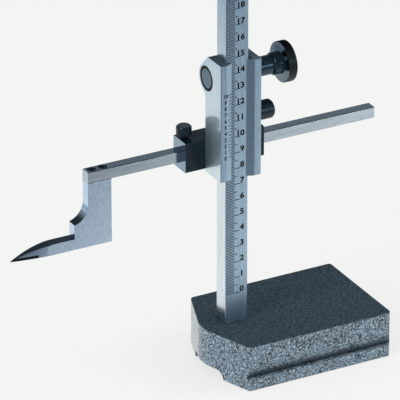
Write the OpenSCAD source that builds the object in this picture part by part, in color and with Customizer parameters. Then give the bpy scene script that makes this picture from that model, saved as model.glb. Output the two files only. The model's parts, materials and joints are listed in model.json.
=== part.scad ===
// Vernier height gauge. A cast base carries a graduated column. A slider runs on
// the column by rack and pinion, and an arm behind the slider carries a scriber.
// The origin is on the surface plate, under the axis of the column. X runs along
// the arm towards the square end of the base, Y away from the scale, Z up.

/* [Setting] */
// Height of the scriber's underside above the surface plate
reading = 88; // [0:1:200]
// Longest reading that the column allows
measuring_range = 200; // [200:10:300]

/* [Base] */
// Width across the two gripping sides
base_w = 72.7; // [66:0.1:90]
// Height of the casting
base_h = 28.9; // [28:0.1:36]
// Distance from the column axis to the square end
base_tail = 86.2; // [60:0.1:120]
// Distance from the column axis to the tip of the nose
base_nose = 20.3; // [18:0.1:30]
// Slope of the two nose flats
nose_angle = 20; // [10:1:30]
// Radius of the nose
nose_r = 26; // [12:1:40]
// Radius of the two upright corners at the nose
nose_corner_r = 1.6; // [1.6:0.1:4]
// Radius of the two upright corners at the square end
tail_corner_r = 2.2; // [1.6:0.1:6]
// Bevel round the top and bottom edges
base_bevel = 0.6; // [0.4:0.1:1.5]
// How far the column stands behind the middle of the base
column_offset = 1.5; // [0:0.5:6]
// Height of the lip under each finger groove
lip_h = 7.6; // [5:0.1:9]
// Height of each finger groove
groove_h = 9; // [7:0.1:11]
// Depth of each finger groove
groove_depth = 2.6; // [1.8:0.1:4]
// Angle at which the side starts to round under into the groove
groove_break = 4; // [2:0.5:5]
// Width of the relief between the two foot rails
relief_w = 34; // [20:1:44]
// Depth of that relief
relief_h = 5.8; // [5.2:0.1:6.5]
// Radius of that relief's two upper corners
relief_corner_r = 5; // [1:0.1:5]
// Depth of the socket that holds the column
socket_depth = 14; // [12:0.5:14.5]

/* [Column] */
// Width of the graduated face
column_w = 14.5; // [13.5:0.1:18]
// Depth of the column
column_d = 11; // [10:0.1:14]
// Bevel along the column's edges
column_bevel = 0.35; // [0.2:0.05:0.6]
// Height of the scale's zero line above the base
zero_above_base = 18.1; // [15:0.1:24]

/* [Rack and pinion] */
// Tooth module
tooth_module = 0.8; // [0.7:0.05:0.85]
// Number of teeth on the pinion
pinion_teeth = 13; // [12:1:14]
// Width of the rack strip
rack_w = 6; // [5:0.1:7]
// Thickness of the rack strip
rack_t = 3; // [2.8:0.1:3.6]
// How far the rack's tooth tips lie under the column's rear face
rack_sink = 0.5; // [0.3:0.1:0.8]
// Play between rack and pinion teeth
backlash = 0.12; // [0.08:0.01:0.2]

/* [Slider] */
// Height of the slider
slider_h = 73; // [70:0.5:90]
// Gap left over the base when the reading is zero
slider_gap = 5.1; // [4:0.1:10]
// Thickness of the left wall
left_wall = 4.5; // [4:0.1:6]
// Thickness of the right wall
right_wall = 4.5; // [4:0.1:6]
// Thickness of the two front jaws
front_lip = 2.3; // [2:0.1:3]
// Thickness of the rear wall
back_wall = 5.4; // [5:0.1:7]
// How far the vernier jaw covers the scale
vernier_overlap = 3.4; // [2.5:0.1:4]
// How far the right jaw covers the scale
jaw_overlap = 1.1; // [0.8:0.1:2]
// Width of the bevel on each jaw
jaw_bevel = 4; // [3:0.1:4.4]
// Thickness of the jaw's thin edge
jaw_edge = 0.4; // [0.3:0.1:0.8]
// Outer radius of the pinion boss
boss_r = 8.8; // [8.5:0.1:10]
// Depth of the pinion axis under the slider's top
pinion_drop = 13.9; // [13:0.1:18]
// Bevel on the slider's outer edges
slider_bevel = 0.4; // [0.2:0.1:0.6]

/* [Guide strip] */
// Thickness of the guide strip
gib_t = 2; // [1.6:0.1:2.6]
// Room for the leaf spring behind the guide strip
spring_gap = 0.8; // [0.6:0.05:1.2]
// Thickness of the leaf spring
spring_t = 0.25; // [0.2:0.05:0.3]
// Length of the leaf spring
spring_l = 34; // [24:1:38]

/* [Drive] */
// Outer radius of the knob
knob_r = 12.2; // [10:0.1:15]
// Thickness of the knob's rim
knob_rim = 5.4; // [4:0.1:8]
// Length of the knob's hub
knob_hub = 6.1; // [5:0.1:9]
// Radius of the knob's hub
knob_hub_r = 6.75; // [6.5:0.05:9]
// Bevel at the free end of the knob's hub
hub_bevel = 0.8; // [0.3:0.1:1.2]
// Length of the bearing sleeve outside the slider
sleeve_l = 14.8; // [12:0.1:20]
// Outer radius of the bearing sleeve
sleeve_r = 5.8; // [5.6:0.1:6.2]
// Radius of the drive shaft
shaft_r = 4; // [3.6:0.1:4.2]
// Outer radius of the bush in the boss
bush_r = 7.6; // [7.4:0.1:7.8]
// Radius of the shaft's left journal
journal_r = 6.5; // [6.45:0.05:6.7]

/* [Clamping screws] */
// Radius of both clamping screws' threads
clamp_thread_r = 2; // [1.6:0.1:2.4]
// Radius of the slider lock's head
lock_head_r = 5.7; // [5:0.1:7]
// Length of the slider lock's head
lock_head_l = 10.2; // [6:0.1:13]
// Radius of the arm clamp's head
thumb_head_r = 4.6; // [4:0.1:6]
// Height of the arm clamp's head
thumb_head_h = 5.9; // [3.5:0.1:7]
// Length of the arm clamp's neck above the bracket
thumb_neck = 1.5; // [1:0.1:5]
// Distance from the bracket's left end to the arm clamp's axis
thumb_inset = 3.8; // [3:0.1:8]

/* [Arm] */
// Side of the square arm
arm_size = 7; // [6:0.1:8]
// Length of the arm
arm_l = 188.5; // [150:0.5:220]
// Distance from the column axis to the arm's left end
arm_reach = 84.6; // [70:0.1:110]
// How far the bracket stands out to the left of the slider
bracket_left = 12.9; // [10:0.1:18]
// How far the bracket stands out to the right of the slider
bracket_right = 12.3; // [8:0.1:18]
// Height of the bracket
bracket_h = 18.7; // [18.4:0.1:24]
// Height of the bracket's underside above the slider's lower end
bracket_rise = 1.3; // [0.5:0.1:4]
// Wall of the bracket under the arm
bracket_floor = 4.6; // [3:0.1:5]
// Wall of the bracket in front of the arm
bracket_front = 5.6; // [3:0.1:7]
// Wall of the bracket behind the arm
bracket_back = 2; // [1.5:0.1:4]

/* [Scriber] */
// Width of the scriber's upright block
block_w = 15.1; // [13:0.1:20]
// Height of the scriber's toe
toe_h = 6.8; // [6:0.1:8]
// How far the foot of the block reaches out over the toe
foot_l = 8.9; // [6:0.1:10]
// Height of that foot
foot_h = 15.6; // [13:0.1:18]
// Radius between the foot and the block
foot_r = 11.6; // [9.5:0.1:13]
// Distance from the arm's left end to the scribing point
point_l = 48.4; // [40:0.1:60]
// Length over which the toe's sides run in to the point
ogive_l = 24; // [18:0.1:28]
// Angle at which those sides break away from the toe's flanks
point_break = 5; // [0:0.5:5]
// Length over which the toe's top curves down to the point
taper_l = 29; // [24:0.1:34]
// Height of the scribing point
nose_h = 0.5; // [0.3:0.1:1.2]
// Length of the carbide strip under the point
carbide_l = 16.8; // [12:0.1:22]
// Thickness of the carbide strip
carbide_t = 1.8; // [1.4:0.1:2.4]

/* [Hidden] */
$fn = 64;

// Clearances: sliding faces, running shafts, screws in their holes, cuts past a face
slide_gap = 0.05;
run_gap = 0.03;
screw_gap = 0.1;
past = 1;

// Heights, from the surface plate up
zero_z = base_h + zero_above_base;
slider_z = base_h + slider_gap + reading;
slider_top = slider_z + slider_h;
lowest_slider_z = base_h + slider_gap;
axis_z = slider_top - pinion_drop;
lowest_axis_z = lowest_slider_z + slider_h - pinion_drop;
lock_z = slider_z + slider_h / 2;
bracket_z = slider_z + bracket_rise;
arm_z = bracket_z + bracket_floor + slide_gap;
scriber_drop = arm_z - reading;
stop_margin = 9;
column_top = lowest_slider_z + slider_h + measuring_range + stop_margin;
column_foot = base_h - socket_depth;

// Stop screw near the column's top
stop_r = 1.5;
stop_head_r = 2.5;
stop_head_h = 2;
stop_thread = 6;
stop_inset = 4;
stop_z = column_top - stop_inset;

// Base outline
base_mid_y = -column_offset;
base_front_y = base_mid_y - base_w / 2;
base_back_y = base_mid_y + base_w / 2;
corner_steps = 8;
nose_steps = 16;
socket_gap = 0.1;
socket_lead = 0.6;

// Screw through the base into the column's foot
foot_screw_r = 3;
foot_head_r = 5;
foot_head_h = 5;
foot_thread = 12;

// Tooth proportions, in modules: the rack's tips are stubbed so that a small
// pinion runs free
pressure_angle = 20;
tip_rise = 1;
root_drop = 1.25;
stub_rise = 0.74;
tooth_pitch = PI * tooth_module;
pitch_r = tooth_module * pinion_teeth / 2;
pinion_tip_r = pitch_r + tip_rise * tooth_module;
stub_room = 0.2;
stub_drop = stub_rise + stub_room;
pinion_root_r = pitch_r - stub_drop * tooth_module;
rack_tip_y = column_d / 2 - rack_sink;
rack_pitch_y = rack_tip_y - stub_rise * tooth_module;
rack_root_y = rack_pitch_y - root_drop * tooth_module;
rack_seat_y = rack_tip_y - rack_t;
axis_y = rack_pitch_y + pitch_r;
pinion_short = 1;
pinion_w = rack_w - pinion_short;
rack_margin = 9;
rack_end = 6;
rack_from = lowest_axis_z - rack_margin;
rack_teeth = ceil((measuring_range + 2 * rack_margin) / tooth_pitch);
rack_to = rack_from + rack_teeth * tooth_pitch;
rack_screw_r = 1.25;
rack_head_r = 2.2;
rack_thread = 4;
// Turn of the pinion that keeps it in mesh at this reading
mesh_turn = (axis_z - rack_from) / pitch_r * 180 / PI;

// Slider section
slider_left = -column_w / 2 - left_wall;
gib_x = column_w / 2 + slide_gap;
channel_right = gib_x + gib_t + spring_gap;
slider_right = channel_right + right_wall;
slider_w = slider_right - slider_left;
slider_front = -column_d / 2 - front_lip;
slider_back = column_d / 2 + back_wall;
window_left = -column_w / 2 + vernier_overlap;
window_right = column_w / 2 - jaw_overlap;
pinion_room = 0.4;
pinion_bore_r = pinion_tip_r + pinion_room;
bush_step = 0.5;
bush_l = left_wall - bush_step;
bush_right = slider_left + bush_l;
neck_room = 0.6;
neck_r = axis_y - column_d / 2 - neck_room;

// Guide strip and its screws
gib_short = 0.5;
gib_side = 0.2;
gib_screw_r = 1.5;
gib_dog_r = 1;
gib_dog_l = 1.2;
gib_screw_end = 13.9;
gib_screw_z = slider_h / 2 - gib_screw_end;
slot_w = 0.6;
slot_depth = 0.8;
pad_t = 1.2;
knurl_land = 0.1;
pad_r = clamp_thread_r - slide_gap;
pad_gap = 0.06;

// Drive line, from the slider to the knob
sleeve_end = slider_right + sleeve_l;
washer_t = 0.4;
washer_gap = 0.05;
hub_x = sleeve_end + washer_t + 2 * washer_gap;
rim_x = hub_x + knob_hub;
knob_end = rim_x + knob_rim;
knob_wall = 2;
knob_dish = 0.9;
knob_screw_r = 1.5;
sleeve_lead = 0.4;
washer_step = 0.8;
washer_r = sleeve_r - washer_step;

// Knurls: grooves round each head, their depth and the bevel at each end
knob_grooves = 60;
knob_groove_depth = 0.3;
knob_shoulder = 0.25;
knob_face_r = knob_r - knob_groove_depth - knob_shoulder;
knob_dish_rim = 2;
knob_dish_r = knob_face_r - knob_dish_rim;
lock_grooves = 30;
lock_groove_depth = 0.35;
lock_shoulder = 1;
lock_head_gap = 0.6;
thumb_grooves = 26;
thumb_groove_depth = 0.3;
thumb_shoulder = 0.6;

// Bracket and arm
bracket_x = slider_left - bracket_left;
bracket_l = slider_w + bracket_left + bracket_right;
arm_y = slider_back + bracket_front + slide_gap;
arm_mid_y = arm_y + arm_size / 2;
arm_top = arm_z + arm_size;
bracket_d = bracket_front + arm_size + 2 * slide_gap + bracket_back;
bracket_top = bracket_z + bracket_h;
thumb_x = bracket_x + thumb_inset;
bracket_screw_r = 1.5;
bracket_head_r = 2.6;
bracket_head_h = 2.8;
bracket_wall = 1;
bracket_thread = back_wall - bracket_wall;
bracket_screw_z = (arm_top + bracket_top) / 2;
bracket_screw_span = 14.5;
bracket_screw_mid = (slider_left + slider_right) / 2;

// Scriber
block_mid = -arm_reach + block_w / 2;
block_screw_span = 7;
block_screw_r = 1.25;
block_head_r = 2.7;
block_head_h = 2.4;
block_thread = 8;
point_x = -arm_reach - point_l;
carbide_x = point_x + carbide_l;
ogive_x = point_x + ogive_l;
ogive_chord = sqrt(ogive_l * ogive_l + arm_size * arm_size / 4);
ogive_r = ogive_chord / (2 * sin(atan(arm_size / 2 / ogive_l) - point_break));
taper_x = point_x + taper_l;
taper_drop = toe_h - nose_h;
taper_r = (taper_l * taper_l + taper_drop * taper_drop) / (2 * taper_drop);
foot_curve = sqrt(foot_r * foot_r - pow(foot_r - foot_l, 2));

// Extrudes along X a shape that is drawn in Y and Z
module along_x(from, length) {
    translate([from, 0, 0]) rotate([90, 0, 90]) linear_extrude(length) children();
}

// Extrudes along Y a shape that is drawn in X and Z
module along_y(from, length) {
    translate([0, from + length, 0]) rotate([90, 0, 0]) linear_extrude(length) children();
}

module rod_x(from, to, r, r2 = undef) {
    translate([from, 0, 0]) rotate([0, 90, 0])
        cylinder(h = to - from, r1 = r, r2 = is_undef(r2) ? r : r2);
}

module rod_y(from, to, r, r2 = undef) {
    translate([0, from, 0]) rotate([-90, 0, 0])
        cylinder(h = to - from, r1 = r, r2 = is_undef(r2) ? r : r2);
}

module rod_z(from, to, r, r2 = undef) {
    translate([0, 0, from]) cylinder(h = to - from, r1 = r, r2 = is_undef(r2) ? r : r2);
}

// A block given by its lowest and highest corners
module block(low, high) {
    translate(low) cube(high - low);
}

// A straight knurl along Z, with plain bevelled shoulders
module knurl(from, to, r, grooves, depth, shoulder) {
    core_r = r - depth;
    translate([0, 0, from + shoulder]) linear_extrude(to - from - 2 * shoulder)
        polygon([for (i = [0 : 2 * grooves - 1])
            (i % 2 == 0 ? r : core_r) * [cos(180 * i / grooves), sin(180 * i / grooves)]]);
    shoulder_r = core_r - knurl_land;
    rod_z(from, from + shoulder, shoulder_r - shoulder, shoulder_r);
    rod_z(to - shoulder, to, shoulder_r, shoulder_r - shoulder);
}

function unit(v) = v / norm(v);

// Points of the arc that rounds the corner at q between p and s
function corner_arc(p, q, s, r, steps) =
    let (u = unit(p - q), v = unit(s - q), half = acos(u * v) / 2,
        centre = q + unit(u + v) * r / sin(half),
        a = q + u * r / tan(half) - centre,
        b = q + v * r / tan(half) - centre,
        start = atan2(a[1], a[0]),
        sweep = (atan2(b[1], b[0]) - start + 540) % 360 - 180)
    [for (i = [0 : steps]) centre + r * [cos(start + sweep * i / steps), sin(start + sweep * i / steps)]];

// Plan of the base, drawn in by inset on every side
module base_plan(inset) {
    half = base_w / 2 - inset;
    tip = [-base_nose + inset - (nose_r - inset) * (1 / cos(nose_angle) - 1), base_mid_y];
    shoulder_x = tip[0] + half * tan(nose_angle);
    corners = [[shoulder_x, base_mid_y - half], [base_tail - inset, base_mid_y - half],
        [base_tail - inset, base_mid_y + half], [shoulder_x, base_mid_y + half]];
    polygon(concat(
        corner_arc(tip, corners[0], corners[1], nose_corner_r - inset, corner_steps),
        corner_arc(corners[0], corners[1], corners[2], tail_corner_r - inset, corner_steps),
        corner_arc(corners[1], corners[2], corners[3], tail_corner_r - inset, corner_steps),
        corner_arc(corners[2], corners[3], tip, nose_corner_r - inset, corner_steps),
        corner_arc(corners[3], tip, corners[0], nose_r - inset, nose_steps)));
}

// Finger groove: the side rounds under to a ledge over the lip
module groove_section() {
    chord = sqrt(groove_h * groove_h + groove_depth * groove_depth);
    round_r = chord / (2 * sin(atan(groove_depth / groove_h) - groove_break));
    difference() {
        translate([-past, 0]) square([groove_depth + past, groove_h]);
        translate([0, groove_h] + round_r * [cos(groove_break), sin(groove_break)])
            circle(round_r, $fn = 180);
    }
}

// Relief under the base, round in its upper corners
module relief_section() {
    inner = relief_w / 2 - relief_corner_r;
    translate([base_mid_y, 0]) {
        translate([-inner, -past]) square([2 * inner, relief_h + past]);
        translate([-relief_w / 2, -past]) square([relief_w, relief_h - relief_corner_r + past]);
        for (side = [-1, 1]) translate([side * inner, relief_h - relief_corner_r]) circle(relief_corner_r);
    }
}

module base() {
    color("slategray") difference() {
        hull() {
            linear_extrude(base_h) base_plan(base_bevel);
            translate([0, 0, base_bevel]) linear_extrude(base_h - 2 * base_bevel) base_plan(0);
        }
        along_x(-base_nose - past, base_nose + base_tail + 2 * past) {
            translate([base_front_y, lip_h]) groove_section();
            translate([base_back_y, lip_h]) mirror([1, 0]) groove_section();
            relief_section();
        }
        block([-column_w / 2 - socket_gap, -column_d / 2 - socket_gap, column_foot],
            [column_w / 2 + socket_gap, column_d / 2 + socket_gap, base_h + past]);
        block([-column_w / 2 - socket_lead, -column_d / 2 - socket_lead, base_h - socket_lead],
            [column_w / 2 + socket_lead, column_d / 2 + socket_lead, base_h + past]);
        rod_z(0, base_h, foot_screw_r + screw_gap);
        rod_z(-past, relief_h + foot_head_h + screw_gap, foot_head_r + screw_gap);
    }
}

module column() {
    half_w = column_w / 2;
    half_d = column_d / 2;
    b = column_bevel;
    color("lightsteelblue") difference() {
        translate([0, 0, column_foot]) linear_extrude(column_top - column_foot)
            polygon([[-half_w + b, -half_d], [half_w - b, -half_d], [half_w, -half_d + b],
                [half_w, half_d - b], [half_w - b, half_d], [-half_w + b, half_d],
                [-half_w, half_d - b], [-half_w, -half_d + b]]);
        block([-rack_w / 2 - slide_gap, rack_seat_y, rack_from - rack_end - slide_gap],
            [rack_w / 2 + slide_gap, half_d + past, rack_to + rack_end + slide_gap]);
        rod_z(column_foot - past, column_foot + foot_thread + screw_gap, foot_screw_r + run_gap);
        rack_screw_places() rod_y(rack_seat_y - rack_thread - screw_gap, rack_seat_y + past,
            rack_screw_r + run_gap);
        stop_screw_place() rod_y(half_d - stop_thread - screw_gap, half_d + past, stop_r + run_gap);
    }
}

module column_screw() {
    head_z = relief_h + screw_gap;
    color("dimgray") difference() {
        union() {
            rod_z(head_z, head_z + foot_head_h, foot_head_r);
            rod_z(head_z + foot_head_h, column_foot + foot_thread, foot_screw_r);
        }
        rod_z(head_z - past, head_z + foot_head_h / 2, foot_screw_r, $fn = 6);
    }
}

module rack_screw_places() {
    for (z = [rack_from - rack_end / 2, rack_to + rack_end / 2]) translate([0, 0, z]) children();
}

// One straight rack tooth and the space beyond it, as points in Y and Z
function rack_tooth(z) =
    let (lean = tan(pressure_angle),
        half_tip = tooth_pitch / 4 - backlash / 4 - stub_rise * tooth_module * lean,
        half_root = tooth_pitch / 4 - backlash / 4 + root_drop * tooth_module * lean)
    [[rack_root_y, z - half_root], [rack_tip_y, z - half_tip],
        [rack_tip_y, z + half_tip], [rack_root_y, z + half_root]];

module rack() {
    teeth = [for (i = [0 : rack_teeth - 1]) each rack_tooth(rack_from + (i + 0.5) * tooth_pitch)];
    color("gray") difference() {
        along_x(-rack_w / 2, rack_w) polygon(concat(
            [[rack_seat_y, rack_from - rack_end], [rack_tip_y, rack_from - rack_end],
                [rack_tip_y, rack_from - backlash]],
            teeth,
            [[rack_tip_y, rack_to + backlash], [rack_tip_y, rack_to + rack_end],
                [rack_seat_y, rack_to + rack_end]]));
        rack_screw_places() {
            rod_y(rack_seat_y - past, rack_tip_y, rack_screw_r + screw_gap);
            rod_y(rack_tip_y - rack_head_r, rack_tip_y + run_gap, run_gap, rack_head_r + 2 * run_gap);
        }
    }
}

module rack_screws() {
    neck = rack_head_r - rack_screw_r;
    color("dimgray") rack_screw_places() difference() {
        union() {
            rod_y(rack_seat_y - rack_thread, rack_tip_y - neck, rack_screw_r);
            rod_y(rack_tip_y - neck, rack_tip_y, rack_screw_r, rack_head_r);
        }
        block([-rack_head_r - past, rack_tip_y - slot_w, -slot_w / 2],
            [rack_head_r + past, rack_tip_y + past, slot_w / 2]);
    }
}

module stop_screw_place() {
    translate([0, 0, stop_z]) children();
}

module stop_screw() {
    color("dimgray") stop_screw_place() difference() {
        union() {
            rod_y(column_d / 2 - stop_thread, column_d / 2, stop_r);
            rod_y(column_d / 2, column_d / 2 + stop_head_h, stop_head_r);
        }
        block([-stop_head_r - past, column_d / 2 + stop_head_h - slot_depth, -slot_w / 2],
            [stop_head_r + past, column_d / 2 + stop_head_h + past, slot_w / 2]);
    }
}

// Side view of the slider: an upright slab with the pinion boss on its back
module slider_section() {
    lean = boss_r / sqrt(2);
    back = [axis_y + lean, axis_z + lean];
    b = slider_bevel;
    polygon([[slider_front + b, slider_z], [slider_back, slider_z],
        [slider_back, axis_z - lean - (back[0] - slider_back)],
        [back[0], axis_z - lean], back, [back[0] - (slider_top - back[1]), slider_top],
        [slider_front + b, slider_top], [slider_front, slider_top - b], [slider_front, slider_z + b]]);
    translate([axis_y, axis_z]) circle(boss_r);
}

// Opening between the two jaws, with a bevel that runs down to each thin edge
module jaw_window() {
    edge_y = -column_d / 2 - jaw_edge;
    slope = jaw_bevel / (front_lip - jaw_edge);
    out_y = slider_front - past;
    polygon([[window_left, -column_d / 2 + past], [window_left, edge_y],
        [window_left - jaw_bevel - past * slope, out_y],
        [window_right + jaw_bevel + past * slope, out_y],
        [window_right, edge_y], [window_right, -column_d / 2 + past]]);
}

module axis_place() {
    translate([0, axis_y, axis_z]) children();
}

module gib_screw_places() {
    for (side = [-1, 1]) translate([0, 0, lock_z + side * gib_screw_z]) children();
}

module bracket_screw_places() {
    for (side = [-1, 1])
        translate([bracket_screw_mid + side * bracket_screw_span / 2, 0, bracket_screw_z]) children();
}

module slider_body() {
    color("lightgray") difference() {
        along_x(slider_left, slider_w) slider_section();
        block([-column_w / 2 - slide_gap, -column_d / 2 - slide_gap, slider_z - past],
            [channel_right, column_d / 2 + slide_gap, slider_top + past]);
        translate([0, 0, slider_z - past]) linear_extrude(slider_h + 2 * past) jaw_window();
        for (x = [slider_left, slider_right]) translate([x, slider_front, slider_z - past])
            rotate(45) cube([slider_bevel * sqrt(2), slider_bevel * sqrt(2), 2 * slider_h + 4 * past],
                center = true);
        axis_place() {
            rod_x(slider_left - past, bush_right, bush_r + run_gap);
            rod_x(bush_right - past, slider_right + past, pinion_bore_r);
        }
        translate([0, 0, lock_z]) rod_x(channel_right - past, slider_right + past, clamp_thread_r + run_gap);
        gib_screw_places() rod_x(channel_right - past, slider_right + past, gib_screw_r + run_gap);
        bracket_screw_places()
            rod_y(slider_back - bracket_thread - screw_gap, slider_back + past, bracket_screw_r + run_gap);
    }
}

module gib() {
    half_d = column_d / 2 - gib_side;
    color("goldenrod") difference() {
        block([gib_x, -half_d, slider_z + gib_short], [gib_x + gib_t, half_d, slider_top - gib_short]);
        gib_screw_places() rod_x(gib_x + gib_t - gib_dog_l, gib_x + gib_t + past, gib_dog_r + screw_gap);
    }
}

// Leaf spring: bowed so that its middle bears on the guide strip and its ends on the wall
module gib_spring() {
    steps = 12;
    bow = spring_gap - spring_t - 2 * run_gap;
    inner = gib_x + gib_t + run_gap;
    half = spring_l / 2;
    rise = [for (i = [-steps : steps]) [inner + bow * i * i / (steps * steps), half * i / steps]];
    color("silver") difference() {
        translate([0, 0, lock_z]) along_y(-column_d / 4, column_d / 2)
            polygon(concat(rise, [for (i = [2 * steps : -1 : 0]) rise[i] + [spring_t, 0]]));
        translate([0, 0, lock_z]) rod_x(inner - past, channel_right + past, clamp_thread_r + 3 * screw_gap);
    }
}

module gib_screws() {
    outer = slider_right - 2 * screw_gap;
    color("dimgray") gib_screw_places() difference() {
        union() {
            rod_x(gib_x + gib_t - gib_dog_l + screw_gap, channel_right, gib_dog_r);
            rod_x(channel_right, outer, gib_screw_r);
        }
        block([outer - slot_depth, -slot_w / 2, -gib_screw_r - past],
            [outer + past, slot_w / 2, gib_screw_r + past]);
    }
}

module lock_pad() {
    from = gib_x + gib_t + pad_gap;
    color("goldenrod") translate([0, 0, lock_z]) rod_x(from, from + pad_t, pad_r);
}

module lock_screw() {
    tip = gib_x + gib_t + pad_gap + pad_t;
    head = slider_right + lock_head_gap;
    color("#222222") translate([0, 0, lock_z]) {
        rod_x(tip, head, clamp_thread_r);
        translate([head, 0, 0]) rotate([0, 90, 0])
            knurl(0, lock_head_l, lock_head_r, lock_grooves, lock_groove_depth, lock_shoulder);
    }
}

// One flank of a pinion tooth, as an angle at each radius: zero at the pitch circle
function involute_at(r) =
    let (base_r = pitch_r * cos(pressure_angle), here = acos(min(1, base_r / max(r, base_r))))
    (tan(here) - tan(pressure_angle)) * 180 / PI - (here - pressure_angle);

function pinion_tooth(at) =
    let (steps = 5, half = 90 / pinion_teeth - backlash / 4 / pitch_r * 180 / PI,
        radii = [for (i = [0 : steps]) pinion_root_r + (pinion_tip_r - pinion_root_r) * i / steps])
    concat([for (i = [0 : steps]) radii[i] * polar(at - half + involute_at(radii[i]))],
        [for (i = [steps : -1 : 0]) radii[i] * polar(at + half - involute_at(radii[i]))]);

function polar(a) = [cos(a), sin(a)];

module pinion_shaft() {
    shaft_end = knob_end - knob_wall;
    pinion_end = pinion_w / 2;
    color("silver") axis_place() {
        rod_x(slider_left + slide_gap, bush_right, journal_r - run_gap);
        rod_x(bush_right, channel_right + run_gap, neck_r);
        rod_x(channel_right + run_gap, shaft_end, shaft_r);
        along_x(-pinion_end, pinion_w) polygon([for (i = [0 : pinion_teeth - 1])
            each pinion_tooth(180 + mesh_turn + 360 * i / pinion_teeth)]);
    }
}

module pinion_bush() {
    color("#2a2a2a") axis_place() difference() {
        rod_x(slider_left, bush_right, bush_r);
        rod_x(slider_left - past, bush_right + past, journal_r);
    }
}

module bearing_sleeve() {
    color("#2a2a2a") axis_place() difference() {
        union() {
            rod_x(channel_right + slide_gap, slider_right, pinion_bore_r - run_gap);
            rod_x(slider_right, sleeve_end - sleeve_lead, sleeve_r);
            rod_x(sleeve_end - sleeve_lead, sleeve_end, sleeve_r, sleeve_r - sleeve_lead);
        }
        rod_x(channel_right - past, sleeve_end + past, shaft_r + run_gap);
    }
}

module friction_washer() {
    color("silver") axis_place() difference() {
        rod_x(sleeve_end + washer_gap, sleeve_end + washer_gap + washer_t, washer_r);
        rod_x(sleeve_end - past, hub_x + past, shaft_r + screw_gap);
    }
}

module drive_knob() {
    color("#222222") axis_place() difference() {
        union() {
            difference() {
                translate([rim_x, 0, 0]) rotate([0, 90, 0])
                    knurl(0, knob_rim, knob_r, knob_grooves, knob_groove_depth, knob_shoulder);
                rod_x(rim_x - past, rim_x + knob_dish, knob_dish_r, knob_hub_r - past);
            }
            rod_x(hub_x, hub_x + hub_bevel, knob_hub_r - hub_bevel, knob_hub_r);
            rod_x(hub_x + hub_bevel, rim_x + 2 * knob_dish, knob_hub_r);
        }
        rod_x(hub_x - past, knob_end - knob_wall + run_gap, shaft_r + run_gap);
        rod_x(knob_end - knob_dish, knob_end + past, knob_dish_r);
        translate([hub_x + knob_hub / 2, 0, 0]) rod_z(0, knob_hub_r + past, knob_screw_r + run_gap);
    }
}

module knob_screw() {
    low = shaft_r + run_gap;
    high = knob_hub_r - 2 * screw_gap;
    color("dimgray") axis_place() translate([hub_x + knob_hub / 2, 0, 0]) difference() {
        rod_z(low, high, knob_screw_r);
        block([-slot_w / 2, -knob_screw_r - past, high - slot_depth],
            [slot_w / 2, knob_screw_r + past, high + past]);
    }
}

module arm_bracket() {
    b = slider_bevel;
    back = slider_back + bracket_d;
    color("#26292c") difference() {
        along_x(bracket_x, bracket_l)
            polygon([[slider_back, bracket_z + b], [slider_back + b, bracket_z], [back - b, bracket_z],
                [back, bracket_z + b], [back, bracket_top - b], [back - b, bracket_top],
                [slider_back + b, bracket_top], [slider_back, bracket_top - b]]);
        block([bracket_x - past, arm_y - slide_gap, arm_z - slide_gap],
            [bracket_x + bracket_l + past, arm_y + arm_size + slide_gap, arm_top + slide_gap]);
        translate([thumb_x, arm_mid_y, 0]) rod_z(arm_top, bracket_top + past, clamp_thread_r + run_gap);
        bracket_screw_places() {
            rod_y(slider_back - past, back, bracket_screw_r + screw_gap);
            rod_y(back - bracket_head_h - screw_gap, back + past, bracket_head_r + screw_gap);
        }
    }
}

module bracket_screws() {
    head = slider_back + bracket_d - bracket_head_h - screw_gap;
    color("dimgray") bracket_screw_places() difference() {
        union() {
            rod_y(slider_back - bracket_thread, head, bracket_screw_r);
            rod_y(head, head + bracket_head_h, bracket_head_r);
        }
        rod_y(head + bracket_head_h / 2, head + bracket_head_h + past, bracket_screw_r, $fn = 6);
    }
}

module clamp_pad() {
    from = arm_top + pad_gap;
    color("goldenrod") translate([thumb_x, arm_mid_y, 0]) rod_z(from, from + pad_t, pad_r);
}

module clamp_screw() {
    tip = arm_top + pad_gap + pad_t;
    head = bracket_top + thumb_neck;
    color("#222222") translate([thumb_x, arm_mid_y, 0]) {
        rod_z(tip, head, clamp_thread_r);
        knurl(head, head + thumb_head_h, thumb_head_r, thumb_grooves, thumb_groove_depth, thumb_shoulder);
    }
}

module block_screw_places() {
    for (side = [-1, 1])
        translate([block_mid + side * block_screw_span / 2, arm_mid_y, arm_top]) children();
}

module measuring_arm() {
    b = column_bevel;
    far = arm_y + arm_size;
    color("silver") difference() {
        along_x(-arm_reach, arm_l)
            polygon([[arm_y + b, arm_z], [far - b, arm_z], [far, arm_z + b], [far, arm_top - b],
                [far - b, arm_top], [arm_y + b, arm_top], [arm_y, arm_top - b], [arm_y, arm_z + b]]);
        block_screw_places() {
            rod_z(-arm_size - past, past, block_screw_r + screw_gap);
            rod_z(-block_head_h - screw_gap, past, block_head_r + screw_gap);
        }
    }
}

// Side view of the scriber: the block, its hollow foot and the tapering toe
module scriber_section() {
    left = -arm_reach;
    difference() {
        union() {
            translate([left, reading]) square([block_w, scriber_drop]);
            translate([left - foot_l, reading]) square([foot_l + past, foot_h + foot_curve]);
        }
        translate([left - foot_r, reading + foot_h + foot_curve]) circle(foot_r);
    }
    toe_section();
}

// Side view of the toe: its top curves down to the point
module toe_section() {
    root = -arm_reach - foot_l + past;
    translate([taper_x, reading]) square([root - taper_x, toe_h]);
    intersection() {
        translate([point_x, reading]) square([taper_l + past, toe_h]);
        translate([taper_x, reading + toe_h - taper_r]) circle(taper_r, $fn = 360);
    }
}

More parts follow.
